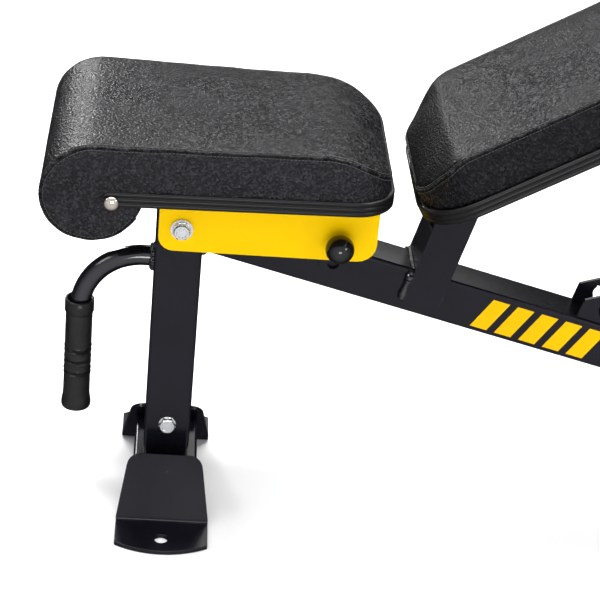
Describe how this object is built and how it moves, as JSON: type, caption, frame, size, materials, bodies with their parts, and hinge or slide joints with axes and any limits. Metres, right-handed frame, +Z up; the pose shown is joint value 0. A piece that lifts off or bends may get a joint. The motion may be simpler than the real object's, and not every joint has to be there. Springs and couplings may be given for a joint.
{
  "type": "adjustable weight bench",
  "caption": "Adjustable weight bench: padded tilting seat and strut-held inclining backrest on a sloping tube frame with a carrying handle, bent foot plates and rear wheels.",
  "frame": {"origin": "on the floor under the middle of the front post, on the underside of the front foot tube", "axes": "+X runs to the rear wheels, +Y to the sitting user's right, +Z up"},
  "size_m": [1.3854, 0.432, 0.8197],
  "materials": {
    "frame_paint": "satin black powder coat",
    "yellow_paint": "satin yellow powder coat",
    "vinyl": "black grained vinyl upholstery",
    "board": "plywood",
    "edge_trim": "ribbed black edge strip",
    "rubber": "matte black",
    "knob_plastic": "polished black",
    "zinc": "bright zinc plate",
    "chrome": "polished",
    "spring_steel": "plain wire",
    "nylon": "natural white"
  },
  "bodies": {
    "root": {"foot_plate_left": "frame_paint", "foot_plate_right": "frame_paint", "front_foot_tube": "frame_paint", "front_post": "frame_paint", "handle_grip": "rubber", "handle_tube": "frame_paint", "hinge_bolt": "zinc", "hinge_bracket": "frame_paint", "hinge_nut": "zinc", "ladder_plate_left": "frame_paint", "ladder_plate_right": "frame_paint", "lower_bolt": "zinc", "lower_bolt_nut": "zinc", "post_stub": "frame_paint", "rear_bolt_left": "zinc", "rear_bolt_right": "zinc", "rear_foot_cap_left": "rubber", "rear_foot_cap_right": "rubber", "rear_foot_tube": "frame_paint", "rear_nut_left": "zinc", "rear_nut_right": "zinc", "seat_index_plate": "frame_paint", "seat_pivot_bolt": "zinc", "seat_pivot_bush_left": "nylon", "seat_pivot_bush_right": "nylon", "seat_pivot_nut": "zinc", "seat_pivot_washer": "zinc", "spine_end_plate": "frame_paint", "spine_tube": "frame_paint", "wheel_axle_left": "zinc", "wheel_axle_right": "zinc", "wheel_bracket_left": "frame_paint", "wheel_bracket_right": "frame_paint"},
    "seat": {"seat_side_plate_left": "yellow_paint", "seat_side_plate_right": "yellow_paint", "seat_top_plate": "frame_paint", "seat_board": "board", "seat_pad": "vinyl", "seat_trim": "edge_trim", "seat_trim_screw_left": "chrome", "seat_trim_screw_right": "chrome", "seat_pin_housing": "frame_paint", "seat_pin_spring": "spring_steel"},
    "seat_pin": {"seat_pin": "zinc", "seat_pin_knob": "knob_plastic"},
    "backrest": {"back_beam": "frame_paint", "hinge_sleeve": "frame_paint", "back_mount_front": "frame_paint", "back_mount_rear": "frame_paint", "back_board": "board", "back_pad": "vinyl", "back_trim": "edge_trim", "strut_pivot_bolt": "zinc", "strut_pivot_nut": "zinc"},
    "strut": {"strut_arm_left": "frame_paint", "strut_arm_right": "frame_paint", "strut_brace": "frame_paint", "strut_foot_bar": "zinc"},
    "wheel_left": {"wheel_left": "rubber"},
    "wheel_right": {"wheel_right": "rubber"}
  },
  "joints": [
    {"name": "seat_tilt", "type": "hinge", "parent": "root", "child": "seat", "pos_m": [0.002, 0, 0.3345], "axis": [0, 1, 0], "range_deg": [0, 10]},
    {"name": "seat_pin_pull", "type": "slide", "parent": "seat", "child": "seat_pin", "axis": [0, -1, 0], "range_m": [0, 0.006], "stiffness_N_per_m": 800, "springref_m": -0.004, "deforming": ["seat_pin_spring"]},
    {"name": "backrest_hinge", "type": "hinge", "parent": "root", "child": "backrest", "pos_m": [0.29051, 0, 0.38], "axis": [0, -1, 0], "range_deg": [-30.3, 34.7]},
    {"name": "strut_hinge", "type": "hinge", "parent": "backrest", "child": "strut", "pos_m": [0.53226, 0, 0.52127], "axis": [0, -1, 0], "range_deg": [-59.5, 52]},
    {"name": "wheel_left_spin", "type": "hinge", "parent": "root", "child": "wheel_left", "pos_m": [1.2169, -0.15, 0.036], "axis": [0, 1, 0], "continuous": true},
    {"name": "wheel_right_spin", "type": "hinge", "parent": "root", "child": "wheel_right", "pos_m": [1.2169, 0.15, 0.036], "axis": [0, 1, 0], "continuous": true}
  ],
  "couplings": [
    {"joint": "strut_hinge", "follows": "backrest_hinge", "ratio": -1.7}
  ]
}
